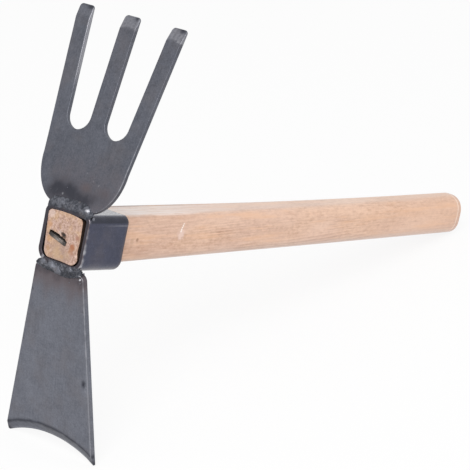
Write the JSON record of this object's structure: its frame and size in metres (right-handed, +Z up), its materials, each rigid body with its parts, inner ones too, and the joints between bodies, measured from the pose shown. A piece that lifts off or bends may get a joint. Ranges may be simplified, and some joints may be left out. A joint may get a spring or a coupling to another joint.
{
  "type": "hand cultivator",
  "caption": "Double-headed hand hoe: tined fork above and flaring hoe blade below, welded to a square steel eye that is wedged on a short wooden handle.",
  "frame": {"origin": "on the ground below the middle of the tool's bounding box, with the tool standing on the two corners of its cutting edge and on its butt", "axes": "+Z up, +X from the head towards the butt along the ground, +Y across the tool"},
  "size_m": [0.4022, 0.0776, 0.236],
  "materials": {
    "black_steel": "dark blue-grey rolling and forging scale, satin, with bare ground edges",
    "weld_metal": "rippled weld metal, part scaled, with bright high spots",
    "wedge_steel": "dull hammered strip steel with light rust",
    "handle_wood": "pale unvarnished hardwood, sanded smooth, fine grain along its length"
  },
  "bodies": {
    "root": {"handle": "handle_wood", "eye_ring": "black_steel", "fork": "black_steel", "hoe_blade": "black_steel", "wedge": "wedge_steel", "weld_fork_front": "weld_metal", "weld_fork_back": "weld_metal", "weld_hoe_front": "weld_metal", "weld_hoe_back": "weld_metal", "weld_eye_seam": "weld_metal"}
  },
  "joints": []
}
